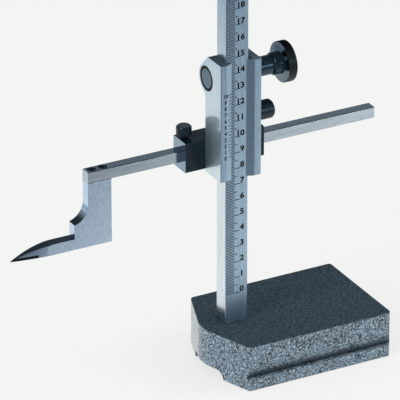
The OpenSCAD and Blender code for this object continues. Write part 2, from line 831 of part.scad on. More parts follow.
// Plan of the toe: two arcs that break away from its flanks and meet at the scribing point
module toe_plan() {
    middle = [ogive_r * sin(point_break), ogive_r * cos(point_break) - arm_size / 2];
    translate([ogive_x, arm_mid_y]) intersection() {
        translate(middle) circle(ogive_r, $fn = 720);
        translate([middle[0], -middle[1]]) circle(ogive_r, $fn = 720);
        translate([-ogive_l - past, -arm_size / 2]) square([ogive_l + past, arm_size]);
    }
    translate([ogive_x, arm_y]) square([point_l - ogive_l + block_w, arm_size]);
}

module toe_envelope() {
    translate([0, 0, reading - past]) linear_extrude(scriber_drop + 2 * past) toe_plan();
}

// Room of the carbide strip under the point
module carbide_seat() {
    block([point_x - past, arm_y - past, reading - past],
        [carbide_x, arm_y + arm_size + past, reading + carbide_t]);
}

module scriber_body() {
    color("lightsteelblue") difference() {
        intersection() {
            along_y(arm_y, arm_size) scriber_section();
            toe_envelope();
        }
        carbide_seat();
        block_screw_places() rod_z(-arm_size - block_thread - screw_gap, past, block_screw_r + run_gap);
    }
}

module carbide_tip() {
    color("#3a3d40") intersection() {
        along_y(arm_y, arm_size) toe_section();
        toe_envelope();
        carbide_seat();
    }
}

module scriber_screws() {
    color("#2a2a2a") block_screw_places() difference() {
        union() {
            rod_z(-arm_size - block_thread, -block_head_h - screw_gap, block_screw_r);
            rod_z(-block_head_h - screw_gap, -screw_gap, block_head_r);
        }
        rod_z(-screw_gap - block_head_h / 2, past, block_screw_r, $fn = 6);
    }
}

base();
column();
column_screw();
rack();
rack_screws();
stop_screw();
slider_body();
gib();
gib_spring();
gib_screws();
lock_pad();
lock_screw();
pinion_shaft();
pinion_bush();
bearing_sleeve();
friction_washer();
drive_knob();
knob_screw();
arm_bracket();
bracket_screws();
clamp_pad();
clamp_screw();
measuring_arm();
scriber_body();
carbide_tip();
scriber_screws();
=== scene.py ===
"""Looks of a vernier height gauge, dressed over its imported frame."""

import json
import math
from typing import NamedTuple

import bmesh
import bpy
from bpy.props import FloatProperty, FloatVectorProperty, PointerProperty
from mathutils import Matrix, Vector

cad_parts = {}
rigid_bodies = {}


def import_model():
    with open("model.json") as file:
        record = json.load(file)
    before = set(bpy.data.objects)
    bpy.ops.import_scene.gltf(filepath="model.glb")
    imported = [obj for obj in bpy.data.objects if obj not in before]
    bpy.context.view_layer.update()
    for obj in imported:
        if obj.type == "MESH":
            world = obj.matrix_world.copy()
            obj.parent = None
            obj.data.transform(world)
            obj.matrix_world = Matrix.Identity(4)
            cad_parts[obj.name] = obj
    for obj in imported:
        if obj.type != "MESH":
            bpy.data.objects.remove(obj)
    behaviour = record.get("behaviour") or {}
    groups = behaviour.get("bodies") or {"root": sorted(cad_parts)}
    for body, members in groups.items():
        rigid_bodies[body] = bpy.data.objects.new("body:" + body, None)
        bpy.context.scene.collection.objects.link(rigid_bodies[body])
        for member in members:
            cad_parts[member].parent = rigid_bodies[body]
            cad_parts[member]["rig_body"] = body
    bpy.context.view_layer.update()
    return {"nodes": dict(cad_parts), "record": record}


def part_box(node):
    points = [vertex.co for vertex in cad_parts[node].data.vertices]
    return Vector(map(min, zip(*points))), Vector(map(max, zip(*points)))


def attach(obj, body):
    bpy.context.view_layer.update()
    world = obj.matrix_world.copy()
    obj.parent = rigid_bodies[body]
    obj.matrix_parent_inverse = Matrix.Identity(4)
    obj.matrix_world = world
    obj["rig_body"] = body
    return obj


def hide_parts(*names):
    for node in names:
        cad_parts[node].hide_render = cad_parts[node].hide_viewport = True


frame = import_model()

bl_info = {
    "name": "Vernier Height Gauge",
    "version": (1, 0, 0),
    "blender": (4, 5, 0),
    "location": "View3D > Sidebar > Gauge",
    "description": "Dresses a vernier height gauge with its finishes and engraved scales",
    "category": "Object",
}

MM = 0.001

# Faces of the frame that the scales, the paint and the screw heads start from
COLUMN_LOW, COLUMN_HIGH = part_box("column")
SLIDER_LOW, SLIDER_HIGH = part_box("slider_body")
BASE_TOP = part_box("base")[1].z
BRACKET_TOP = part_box("arm_bracket")[1].z

# Turns that stand a number up and that point a turned piece upwards
UPRIGHT = Matrix.Rotation(math.radians(90), 4, "X")
UPWARD = Matrix.Rotation(math.radians(-90), 4, "Y")

# Points closer than this are one point, and a point this close to a face lies on it
MERGE = 0.002 * MM
NUMBER_MERGE = 0.001 * MM
ON_FACE = 0.01 * MM

# Angles over which two faces are not one plane, have their edge broken, and show an edge
FLAT = math.radians(0.2)
SHARP = math.radians(18)
CREASE = math.radians(35)
TURNED_CREASE = math.radians(28)

# How far the edges of each dressed node are broken, and in how many steps
EDGE_BREAKS = {
    "base": 0.35 * MM,
    "column": 0.12 * MM,
    "slider_body": 0.06 * MM,
    "bearing_sleeve": 0.15 * MM,
    "pinion_bush": 0.08 * MM,
    "pinion_shaft": 0.0,
    "arm_bracket": 0.15 * MM,
    "measuring_arm": 0.03 * MM,
    "scriber_body": 0.3 * MM,
    "carbide_tip": 0.06 * MM,
}
BREAK_STEPS = 2

# Slope of the two flats beside the base's nose, and the cuts that make one rounded corner
NOSE_SLOPE = math.radians(20)
CORNER_CUTS = 6

# Layout of the column's scale: bare steel beside the lines and over the last one, and its numbers
SCALE_MARGIN = 0.35 * MM
SCALE_HEADROOM = 4 * MM
NUMBER_LIFT = 0.35 * MM
NUMBER_STRETCH = 1.1

# Height of a digit in font units, and the points along one curve of it
DIGIT_HEIGHT = 0.7
DIGIT_CURVE = 3

# Layout of the vernier on the slider's bevel, which runs from a thin edge to a ridge
VERNIER_STEPS = 20
BEVEL_EDGE = Vector((-3.85 * MM, COLUMN_LOW.y - 0.4 * MM, 0.0))
BEVEL_RIDGE = Vector((-7.85 * MM, SLIDER_LOW.y, 0.0))
VERNIER_GAP = 0.05 * MM
VERNIER_LONG = 3.4 * MM
VERNIER_SHORT = 2.5 * MM
VERNIER_WIDTH = 0.8
VERNIER_NUMBERS = -8.65 * MM
VERNIER_STRETCH = 0.9

# The knob's knurl, and how far it ends from the rim's back and from its front
KNOB_STEPS = 120
KNOB_ROWS = 8
KNURL_BACK = 0.12 * MM
KNURL_FRONT = 0.2 * MM

# The knob's rim, with the drop of its two edges, and the dish in its end
RIM_LENGTH = 5.4 * MM
RIM_BACK_DROP = 0.5 * MM
RIM_FRONT_DROP = 0.6 * MM
DISH_RADIUS = 9.7 * MM
DISH_DEPTH = 0.9 * MM
DISH_SLOPE = 0.3 * MM

# The knob's bore and hub; the points of the hub's rounded end lie along it and under its radius
BORE_RADIUS = 4.04 * MM
BORE_WALL = 1.95 * MM
HUB_RADIUS = 6.75 * MM
HUB_END = ((0.0, 0.8 * MM), (0.4 * MM, 0.25 * MM), (0.9 * MM, 0.0))
HUB_FILLET_LENGTH = 0.3 * MM
HUB_FILLET_RISE = 0.65 * MM

# The clamping screws' threads, which are rings side by side
THREAD_RADIUS = 2.0 * MM
THREAD_PITCH = 0.7 * MM
THREAD_DEPTH = 0.38 * MM
THREAD_POINT = 0.35 * MM
THREAD_NECK = 0.1 * MM
THREAD_END = 0.6 * MM

# The clamping screws' heads; the points of a rounded rim are shares of the round, back and inwards
LOCK_STEPS = 48
THUMB_STEPS = 44
FEWEST_ROWS = 4
HEAD_CHAMFER = 0.5 * MM
HEAD_DROP = 0.9 * MM
HEAD_END = ((0.46, 0.25), (0.12, 0.54), (0.0, 0.75))

# Waves of the ground steel's lay to the millimetre: up the piece, along it, and as a mottle
LAY_UP = (1.6, 1.6, 0.05)
LAY_ALONG = (0.06, 1.5, 1.5)
LAY_MOTTLED = (1.2, 1.2, 0.3)
POINT_LAY = (1.2, 1.2, 0.1)

# Shades of the streaks and the stains on ground steel, and the depth of a steel's grain
STREAK_DARK = 0.88
STREAK_BRIGHT = 1.12
STAIN_DARK = 0.86
GRAIN_DEPTH = 0.004 * MM

# Distance to the right of the column's axis over which the painted shade on a milled top turns to a lighter
# painted sheen
TOP_SHEEN_TURN = 6.0 * MM

# How far under the base's top the two paints meet, how far their edge strays, and the hammering
PAINT_FROM = 0.7 * MM
PAINT_TO = 0.3 * MM
PAINT_STRAY = 0.8 * MM
HAMMER_DEPTH = 0.3 * MM

# The floor's half width and its drop under the gauge
FLOOR_REACH = 6.0
FLOOR_DROP = 0.05 * MM

# Stretches of the floor, in metres, over which its mirror image changes, and the first one's slant
NEAR_STRETCH = (-0.34, 0.03)
NEAR_SLANT = 0.9
FAR_STRETCH = (0.42, 0.75)

# Shares of the floor's colour: what the lamps light and what glows on camera, and the room's light
FLOOR_LIT = 0.3
FLOOR_GLOW = 0.755
ROOM_LIGHT = 0.55

# The studio as the steel mirrors it
BLACK = (0.0, 0.0, 0.0)
HAZE = (0.23, 0.27, 0.31)
CEILING = (0.02, 0.026, 0.032)
BEFORE_GAUGE = (0.05, 0.06, 0.07)
WINDOW = (4.6, 5.2, 5.8)

# Name, place, width and power of each lamp, and the point that they shine at
LAMPS = (
    ("lamp_left", (-2.2, -0.8, 1.4), 1.5, 30.0),
    ("lamp_right", (2.2, -0.9, 1.5), 1.5, 22.0),
)
LAMP_AIM = Vector((0.0, 0.0, 0.12))

# The point on the column's scale that the camera's aim is counted from
SCALE_POINT = Vector((-0.25 * MM, COLUMN_LOW.y, 127 * MM))
SENSOR_WIDTH = 36.0
CLIP_END = 100.0


class ScaleSettings(bpy.types.PropertyGroup):
    """Sizes of the engraved scales."""

    zero_height: FloatProperty(
        name="Zero line", description="Height of the column's zero line over the plate",
        default=48 * MM, unit="LENGTH")
    reading: FloatProperty(
        name="Reading", description="Height that the vernier shows at rest",
        default=89 * MM, unit="LENGTH")
    line_width: FloatProperty(
        name="Line width", description="Width of one engraved line",
        default=0.45 * MM, unit="LENGTH")
    line_rise: FloatProperty(
        name="Ink height", description="How far the ink stands over the steel",
        default=0.015 * MM, unit="LENGTH")
    short_line: FloatProperty(
        name="Millimetre line", description="From the column's edge to the end of a millimetre line",
        default=5.7 * MM, unit="LENGTH")
    middle_line: FloatProperty(
        name="Half line", description="From the column's edge to the end of a half-centimetre line",
        default=7.6 * MM, unit="LENGTH")
    long_line: FloatProperty(
        name="Centimetre line", description="From the column's edge to the end of a centimetre line",
        default=9.3 * MM, unit="LENGTH")
    number_height: FloatProperty(
        name="Number height", description="Height of the column's numbers",
        default=3.45 * MM, unit="LENGTH")
    number_end: FloatProperty(
        name="Number place", description="Distance from the column's axis to the numbers' right end",
        default=4.8 * MM, unit="LENGTH")
    vernier_span: FloatProperty(
        name="Vernier length", description="Length of the vernier's twenty divisions",
        default=39 * MM, unit="LENGTH")
    vernier_number: FloatProperty(
        name="Vernier number height", description="Height of the vernier's numbers",
        default=2.2 * MM, unit="LENGTH")
    number_bold: FloatProperty(
        name="Number weight", description="How much the numbers' strokes are thickened, in font units",
        default=0.04)


class FormSettings(bpy.types.PropertyGroup):
    """Sizes of the rounds, the knurls and the heads."""

    nose_round: FloatProperty(
        name="Nose round", description="Round of the upright corners behind the base's nose",
        default=4 * MM, unit="LENGTH")
    rear_round: FloatProperty(
        name="Rear round", description="Round of the base's upright rear corners",
        default=3.5 * MM, unit="LENGTH")
    knurl_depth: FloatProperty(
        name="Knurl depth", description="Depth of the knurls on the knob and the screws",
        default=0.3 * MM, unit="LENGTH")
    lock_round: FloatProperty(
        name="Lock round", description="Round of the rim at the lock screw's end",
        default=1.2 * MM, unit="LENGTH")
    lock_gap: FloatProperty(
        name="Lock gap", description="Gap between the slider and the lock screw's head",
        default=0.6 * MM, unit="LENGTH")
    thumb_round: FloatProperty(
        name="Thumb round", description="Round of the rim on the thumb screw's top",
        default=0.75 * MM, unit="LENGTH")
    thumb_gap: FloatProperty(
        name="Thumb gap", description="Gap between the bracket and the thumb screw's head",
        default=1.5 * MM, unit="LENGTH")
    journal_chamfer: FloatProperty(
        name="Journal chamfer", description="Chamfer round the end of the pinion's journal",
        default=0.6 * MM, unit="LENGTH")


class FinishSettings(bpy.types.PropertyGroup):
    """Colours of the finishes."""

    satin: FloatVectorProperty(
        name="Satin steel", description="Graduated faces", subtype="COLOR",
        default=(0.455, 0.607, 0.745))
    bright: FloatVectorProperty(
        name="Bright steel", description="Ground and polished faces", subtype="COLOR",
        default=(0.74, 0.80, 0.85))
    polished: FloatVectorProperty(
        name="Polished steel", description="Sides of the slider", subtype="COLOR",
        default=(0.71, 0.87, 0.99))
    arm: FloatVectorProperty(
        name="Arm steel", description="Square bar", subtype="COLOR",
        default=(0.505, 0.565, 0.63))
    scriber: FloatVectorProperty(
        name="Scriber steel", description="Block under the arm's end", subtype="COLOR",
        default=(0.58, 0.71, 0.86))
    black: FloatVectorProperty(
        name="Blackened steel", description="Knobs, screws and bracket", subtype="COLOR",
        default=(0.014, 0.029, 0.044))
    slate: FloatVectorProperty(
        name="Slate paint", description="Top of the base", subtype="COLOR",
        default=(0.039, 0.062, 0.085))
    hammer: FloatVectorProperty(
        name="Hammered paint", description="Sides of the base", subtype="COLOR",
        default=(0.210, 0.283, 0.360))
    brass: FloatVectorProperty(
        name="Brass", description="Pads under the clamping screws", subtype="COLOR",
        default=(0.66, 0.48, 0.20))
    carbide: FloatVectorProperty(
        name="Carbide", description="Point of the scriber", subtype="COLOR",
        default=(0.035, 0.04, 0.045))
    ink: FloatVectorProperty(
        name="Scale ink", description="Filling of the engraved lines", subtype="COLOR",
        default=(0.005, 0.007, 0.010))


class StageSettings(bpy.types.PropertyGroup):
    """Camera, floor and light."""

    azimuth: FloatProperty(
        name="Azimuth", description="Turn of the camera round the column",
        default=math.radians(-28.32), subtype="ANGLE")
    elevation: FloatProperty(
        name="Elevation", description="Height of the camera over the horizon",
        default=math.radians(26.01), subtype="ANGLE")
    distance: FloatProperty(
        name="Distance", description="From the camera to the slider", default=2.704, unit="LENGTH")
    lens: FloatProperty(
        name="Lens", description="Focal length in millimetres", default=424.4)
    aim_left: FloatProperty(
        name="Aim left", description="How far the camera aims to the left of the slider's scale",
        default=20.94 * MM, unit="LENGTH")
    aim_under: FloatProperty(
        name="Aim under", description="How far the camera aims under the slider's scale",
        default=17.22 * MM, unit="LENGTH")
    floor: FloatVectorProperty(
        name="Floor", description="Colour of the floor", subtype="COLOR",
        default=(0.90, 0.91, 0.90))
    near_floor: FloatVectorProperty(
        name="Near floor", description="The floor before the gauge as the steel mirrors it",
        subtype="COLOR", default=(0.20, 0.235, 0.27))
    far_floor: FloatVectorProperty(
        name="Far floor", description="The floor far behind the gauge as the steel mirrors it",
        subtype="COLOR", default=(0.36, 0.47, 0.56))
    light: FloatProperty(
        name="Light", description="Strength of the lamps", default=1.0)


class Value:
    """A shader socket: arithmetic on it adds Math nodes."""

    def __init__(self, tree, socket):
        self.tree = tree
        self.socket = socket

    def _math(self, operation, *values):
        return self.tree.node("ShaderNodeMath", {"operation": operation}, *values)["Value"]

    def __add__(self, other):
        return self._math("ADD", self, other)

    def __radd__(self, other):
        return self._math("ADD", other, self)

    def __sub__(self, other):
        return self._math("SUBTRACT", self, other)

    def __rsub__(self, other):
        return self._math("SUBTRACT", other, self)

    def __mul__(self, other):
        return self._math("MULTIPLY", self, other)

    def __rmul__(self, other):
        return self._math("MULTIPLY", other, self)

    def step(self, low, high):
        """0 under low, 1 over high and smooth between."""
        settings = {"interpolation_type": "SMOOTHSTEP"}
        return self.tree.node("ShaderNodeMapRange", settings, self, low, high)["Result"]


class Tree:
    """A node tree that is filled through one method."""

    def __init__(self, owner):
        owner.use_nodes = True
        self.nodes = owner.node_tree.nodes
        self.links = owner.node_tree.links

    def put(self, node, **sockets):
        """Feeds the named inputs of a node."""
        for name, value in sockets.items():
            self.feed(node.inputs[name.replace("_", " ")], value)

    def feed(self, socket, value):
        """Links a value to an input, or sets a constant on it."""
        if isinstance(value, Value):
            self.links.new(value.socket, socket)
        elif socket.type == "RGBA":
            socket.default_value = (*value, 1.0)[:4]
        else:
            socket.default_value = value

    def node(self, kind, settings=None, *values, **named):
        """Adds a node and gives its outputs by name."""
        made = self.nodes.new(kind)
        for key, value in (settings or {}).items():
            setattr(made, key, value)
        for socket, value in zip([i for i in made.inputs if i.enabled], values):
            self.feed(socket, value)
        self.put(made, **named)
        return {output.name: Value(self, output) for output in made.outputs if output.enabled}

    def mix(self, share, low, high, kind="RGBA"):
        """Low where the share is 0 and high where it is 1."""
        return self.node("ShaderNodeMix", {"data_type": kind}, share, low, high)["Result"]

    def parts(self, vector):
        """X, Y and Z of a vector."""
        split = self.node("ShaderNodeSeparateXYZ", None, vector)
        return split["X"], split["Y"], split["Z"]

    def light_path(self, ray):
        """1 on rays of that kind and 0 on others."""
        return self.node("ShaderNodeLightPath")[ray]


class Finish(Tree):
    """A procedural material on Object coordinates."""

    def __init__(self, name, metallic, roughness):
        self.material = bpy.data.materials.new(name)
        super().__init__(self.material)
        self.shader = self.nodes["Principled BSDF"]
        self.put(self.shader, Metallic=metallic, Roughness=roughness)
        places = self.node("ShaderNodeTexCoord")
        self.place = places["Object"]
        self.facing = places["Normal"]

    def noise(self, waves, detail=3.0, roughness=0.6):
        """Noise with so many waves to the millimetre, on each axis or on all of them."""
        each = waves if isinstance(waves, tuple) else (waves, waves, waves)
        scale = tuple(count / MM for count in each)
        place = self.node("ShaderNodeVectorMath", {"operation": "MULTIPLY"}, self.place, scale)["Vector"]
        return self.node("ShaderNodeTexNoise", None, Vector=place, Scale=1.0, Detail=detail,
                         Roughness=roughness)["Fac"]

    def bump(self, height, distance, strength):
        """A normal that follows a height."""
        return self.node("ShaderNodeBump", None, Height=height, Distance=distance,
                         Strength=strength)["Normal"]

    def done(self, **sockets):
        """Feeds the shader and gives the material."""
        self.put(self.shader, **sockets)
        return self.material


def shade(colour, factor):
    """A colour made lighter or darker."""
    return tuple(min(1.0, part * factor) for part in colour)


def brushed(metal, colour, streak, stain):
    """A steel's colour with bright streaks and dull stains."""
    tone = metal.mix(streak, shade(colour, STREAK_DARK), shade(colour, STREAK_BRIGHT))
    return metal.mix(stain, tone, shade(colour, STAIN_DARK))


def ground_steel(name, colour, grain, roughness, satin=None, satin_rough=0.4, milled=None,
                 coat=False, point=None):
    """Ground steel with a lay; satin front, coated sides, and a machined top and slanted point in painted
    shade, if asked.
    """
    metal = Finish(name, 1.0, roughness)
    facing_x, facing_y, facing_z = metal.parts(metal.facing)
    lay = metal.noise(grain, detail=4.0)
    streak = lay.step(0.32, 0.68)
    cloud = metal.noise(0.05, detail=2.0)
    stain = metal.noise(0.3, detail=4.0, roughness=0.7).step(0.5, 0.75)
    tone = brushed(metal, colour, streak, stain)
    rough = roughness + 0.16 * (lay - 0.5) + 0.10 * (cloud - 0.5)
    if satin is not None:
        front = (0.0 - facing_y).step(0.25, 0.75)
        # Front faces that turn to the left, such as the slider's right bevel, take a darker copy of the
        # satin: painted shade
        bevel_in_shade = (0.0 - facing_x).step(0.2, 0.4)
        dull = metal.mix(lay, shade(satin, 0.65), shade(satin, 0.82))
        grey = metal.mix(bevel_in_shade, brushed(metal, satin, streak, stain), dull)
        tone = metal.mix(front, tone, grey)
        rough = metal.mix(front, rough, satin_rough + 0.16 * (lay - 0.5), "FLOAT")
    # Upward faces are milled and rougher; their darker tone is painted shade, turned lighter towards the
    # right as a painted sheen
    if milled is not None:
        top = facing_z.step(0.5, 0.8)
        right = metal.parts(metal.place)[0].step(0.0, TOP_SHEEN_TURN)
        top_shade_and_sheen = metal.mix(right, milled, shade(milled, 1.9))
        tone = metal.mix(top, tone, metal.mix(lay, shade(milled, 0.7), top_shade_and_sheen))
        rough = rough + top * 0.2
    if coat:
        metal.put(metal.shader, Coat_Weight=(1.0 - front) * (1.0 - top), Coat_IOR=3.6, Coat_Roughness=0.1)
    # The point's slanted faces are ground, and their darker tone is painted shade
    if point is not None:
        slant = (0.0 - facing_x).step(0.06, 0.16) * (0.0 - facing_y).step(0.3, 0.6)
        ground_slant_shade = metal.mix(metal.noise(POINT_LAY), shade(point, 0.8), shade(point, 1.2))
        tone = metal.mix(slant, tone, ground_slant_shade)
    return metal.done(Base_Color=tone, Roughness=rough, Normal=metal.bump(lay, GRAIN_DEPTH, 0.5))


def blackened(name, colour, roughness, bright=None, axis=0):
    """Blued steel with rubbed spots; faces square to one axis may be left bright and polished."""
    metal = Finish(name, 0.5, roughness)
    cloud = metal.noise(0.16, detail=4.0)
    grain = metal.noise(3.0, detail=2.0)
    tone = metal.mix(cloud, shade(colour, 0.75), shade(colour, 1.5))
    rough = roughness + 0.16 * (grain - 0.5) + 0.12 * (cloud - 0.5)
    if bright is not None:
        end = metal.parts(metal.facing)[axis]
        polished = (end * end).step(0.7, 0.9)
        tone = metal.mix(polished, tone, bright)
        rough = metal.mix(polished, rough, 0.06 + 0.06 * cloud, "FLOAT")
        metal.put(metal.shader, Metallic=0.5 + 0.5 * polished)
    return metal.done(Base_Color=tone, Roughness=rough, Normal=metal.bump(grain, GRAIN_DEPTH, 0.3))


def base_paint(name, slate, hammer, top):
    """Smooth slate on top, hammered silver on the sides, painted darker where they turn downwards as
    painted shade.
    """
    paint = Finish(name, 0.0, 0.5)
    edge = paint.noise(0.6)
    height = paint.parts(paint.place)[2] + PAINT_STRAY * (edge - 0.5)
    cover = height.step(top - PAINT_FROM, top - PAINT_TO)
    pits = paint.noise(0.85, detail=4.0, roughness=0.7)
    blotch = paint.noise(0.2, detail=2.0)
    fleck = (pits + 0.3 * (blotch - 0.5)).step(0.47, 0.62)
    silver = paint.mix(pits.step(0.30, 0.48), shade(hammer, 3.0), hammer)
    silver = paint.mix(fleck, silver, shade(hammer, 0.11))
    # Faces that turn downwards, in the cove along the sides, are painted darker: painted shade
    under = (0.0 - paint.parts(paint.facing)[2]).step(0.0, 0.42)
    silver = paint.mix(under, silver, paint.mix(fleck, shade(hammer, 0.3), shade(hammer, 0.08)))
    grain = paint.noise(1.1, roughness=0.7)
    dark = paint.mix(grain.step(0.35, 0.65), shade(slate, 0.3), shade(slate, 1.85))
    paint.put(paint.shader, Coat_Weight=(1.0 - cover) * (1.0 - under), Coat_IOR=1.3, Coat_Roughness=0.15,
              Specular_IOR_Level=0.15)
    relief = paint.mix(cover, 1.0 - pits, 0.12 * grain, "FLOAT")
    return paint.done(Base_Color=paint.mix(cover, silver, dark),
                      Roughness=0.42 + 0.15 * fleck + 0.1 * cover,
                      Metallic=(1.0 - cover) * (1.0 - fleck) * 0.3,
                      Normal=paint.bump(relief, HAMMER_DEPTH, 0.7))


def plain_metal(name, colour, roughness):
    """Turned or drawn metal with a faint grain."""
    metal = Finish(name, 1.0, roughness)
    grain = metal.noise(1.5, detail=4.0)
    cloud = metal.noise(0.1, detail=2.0)
    tone = metal.mix(grain, shade(colour, 0.8), shade(colour, 1.15))
    rough = roughness + 0.2 * (grain - 0.5) + 0.1 * (cloud - 0.5)
    return metal.done(Base_Color=tone, Roughness=rough)


def scale_ink(name, colour):
    """Dull ink that is worn a little thin in places."""
    ink = Finish(name, 0.0, 0.6)
    worn = ink.noise(0.9, detail=4.0)
    ink.put(ink.shader, Specular_IOR_Level=0.15)
    return ink.done(Base_Color=ink.mix(worn, shade(colour, 0.6), shade(colour, 2.2)),
                    Roughness=0.6 + 0.25 * worn)


def recipes():
    """The maker of each finish, with its settings."""
    colours = bpy.context.scene.gauge_finish
    black, bright, satin, scriber = colours.black, colours.bright, colours.satin, colours.scriber
    # The slider's and the scriber's tops, and the scriber's slanted point, take darker copies of their
    # steel: painted shade
    return {
        "column_steel": (ground_steel, dict(
            colour=bright, grain=LAY_UP, roughness=0.24, satin=satin, satin_rough=0.36)),
        "slider_steel": (ground_steel, dict(
            colour=colours.polished, grain=LAY_UP, roughness=0.48, satin=shade(satin, 0.95),
            satin_rough=0.46, milled=shade(satin, 0.47), coat=True)),
        "arm_steel": (ground_steel, dict(colour=colours.arm, grain=LAY_ALONG, roughness=0.15)),
        "scriber_steel": (ground_steel, dict(
            colour=scriber, grain=LAY_MOTTLED, roughness=0.2, milled=shade(scriber, 0.28),
            point=shade(scriber, 0.6))),
        "bracket_steel": (blackened, dict(
            colour=shade(black, 0.72), roughness=0.22, bright=shade(satin, 0.58))),
        "black_steel": (blackened, dict(colour=black, roughness=0.28)),
        "sleeve_steel": (blackened, dict(colour=shade(black, 1.7), roughness=0.17)),
        "knob_steel": (blackened, dict(
            colour=shade(black, 0.3), roughness=0.36, bright=shade(satin, 0.26))),
        "thumb_steel": (blackened, dict(
            colour=black, roughness=0.28, bright=shade(satin, 0.34), axis=2)),
        "bush_steel": (blackened, dict(colour=shade(black, 0.4), roughness=0.6)),
        "screw_steel": (blackened, dict(colour=shade(black, 0.7), roughness=0.4)),
        "base_paint": (base_paint, dict(slate=colours.slate, hammer=colours.hammer, top=BASE_TOP)),
        "shaft_steel": (plain_metal, dict(colour=shade(satin, 0.37), roughness=0.3)),
        "rack_steel": (plain_metal, dict(colour=shade(bright, 0.55), roughness=0.35)),
        "spring_steel": (plain_metal, dict(colour=shade(bright, 0.6), roughness=0.3)),
        "brass": (plain_metal, dict(colour=colours.brass, roughness=0.32)),
        "carbide": (plain_metal, dict(colour=colours.carbide, roughness=0.34)),
        "scale_ink": (scale_ink, dict(colour=colours.ink)),
    }


FINISHES = {}


def finish(name):
    """The named finish, made on first use."""
    if name not in FINISHES:
        maker, settings = recipes()[name]
        FINISHES[name] = maker(name, **settings)
    return FINISHES[name]


def slot_of(node):
    """The material slot that the record gives a CAD node."""
    return next(p["material_slot"] for p in frame["record"]["subparts"] if p["node"] == node)


def new_piece(name, shape, body, material):
    """Puts a bmesh into the scene as a piece that rides on a body."""
    mesh = bpy.data.meshes.new(name)
    shape.to_mesh(mesh)
    shape.free()
    mesh.materials.append(finish(material))
    piece = bpy.data.objects.new(name, mesh)
    bpy.context.scene.collection.objects.link(piece)
    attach(piece, body)
    return piece


def stand_in(node, shape, material=None):
    """Puts a bmesh in the place of a CAD node, in the node's own finish or another."""
    slot = slot_of(node)
    piece = new_piece(node + "_piece", shape, frame["nodes"][node]["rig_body"], material or slot)
    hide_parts(node)
    return piece


def smooth_over(shape, crease):
    """Shades a shape smooth, but for the edges that turn by more than the crease."""
    for face in shape.faces:
        face.smooth = True
    for edge in shape.edges:
        edge.smooth = edge.calc_face_angle(0.0) < crease


def dressed(node, material=None, carve=None):
    """A copy of a CAD node, carved where asked, with its edges broken and its curves smooth."""
    shape = bmesh.new()
    shape.from_mesh(frame["nodes"][node].data)
    bmesh.ops.remove_doubles(shape, verts=shape.verts, dist=MERGE)
    bmesh.ops.dissolve_limit(shape, angle_limit=FLAT, verts=shape.verts, edges=shape.edges)
    if carve:
        carve(shape)
    if EDGE_BREAKS[node]:
        corners = [e for e in shape.edges if e.is_manifold and e.calc_face_angle() > SHARP]
        bmesh.ops.bevel(shape, geom=corners, offset=EDGE_BREAKS[node], segments=BREAK_STEPS, profile=0.5,
                        affect="EDGES", material=-1, clamp_overlap=True)
        bmesh.ops.dissolve_degenerate(shape, dist=MERGE, edges=shape.edges)
    smooth_over(shape, CREASE)
    piece = stand_in(node, shape, material)
    weight = piece.modifiers.new("face_weight", "WEIGHTED_NORMAL")
    weight.keep_sharp = True
    return piece


def coated(*nodes):
    """CAD nodes that keep their own shape and take their finish."""
    for node in nodes:
        mesh = frame["nodes"][node].data
        mesh.materials.clear()
        mesh.materials.append(finish(slot_of(node)))


def add_bar(shape, low, high, turn):
    """A small box between two corners, moved by a matrix."""
    middle = (Vector(low) + Vector(high)) / 2
    size = Vector(high) - Vector(low)
    matrix = turn @ Matrix.Translation(middle) @ Matrix.Diagonal((*size, 1.0))
    bmesh.ops.create_cube(shape, size=1.0, matrix=matrix)


def add_number(shape, number, height, stretch, align, place):
    """A number of that height that stands with its foot at a place, inked as thick as the lines."""
    scale = bpy.context.scene.gauge_scale
    curve = bpy.data.curves.new("number", "FONT")
    curve.body = str(number)
    curve.align_x = align
    curve.resolution_u = DIGIT_CURVE
    curve.extrude = 0.5
    curve.offset = scale.number_bold
    text = bpy.data.objects.new("number", curve)
    bpy.context.scene.collection.objects.link(text)
    bpy.context.view_layer.update()
    mesh = bpy.data.meshes.new_from_object(text.evaluated_get(bpy.context.evaluated_depsgraph_get()))
    bpy.data.objects.remove(text)
    bpy.data.curves.remove(curve)
    size = height / DIGIT_HEIGHT
    sizes = Matrix.Diagonal((size * stretch, size, 2 * scale.line_rise, 1.0))
    mesh.transform(Matrix.Translation(place) @ UPRIGHT @ sizes)
    shape.from_mesh(mesh)
    bpy.data.meshes.remove(mesh)
    bmesh.ops.remove_doubles(shape, verts=shape.verts, dist=NUMBER_MERGE)
    bmesh.ops.dissolve_degenerate(shape, dist=NUMBER_MERGE, edges=shape.edges)
    bmesh.ops.recalc_face_normals(shape, faces=shape.faces)


class Knurl(NamedTuple):
    """A knurled stretch of a round face, with its rows along X and its steps round it."""

    radius: float
    depth: float
    low: float
    high: float
    rows: int
    steps: int

    def outline(self):
        """The stretch of an outline that takes the knurl, from foot to foot."""
        foot = self.radius - self.depth
        pitch = (self.high - self.low) / self.rows
        rows = [(self.low + row * pitch, self.radius) for row in range(self.rows + 1)]
        return [(self.low, foot), *rows, (self.high, foot)]

    def press(self, shape):
        """Presses every second crossing of rows and steps in, which leaves diamonds."""
        for vert in shape.verts:
            if vert.co.yz.length > self.radius - ON_FACE:
                row = round((vert.co.x - self.low) / (self.high - self.low) * self.rows)
                step = round(math.atan2(vert.co.z, vert.co.y) / (2 * math.pi) * self.steps)
                if (row + step) % 2:
                    vert.co.yz *= 1.0 - self.depth / self.radius


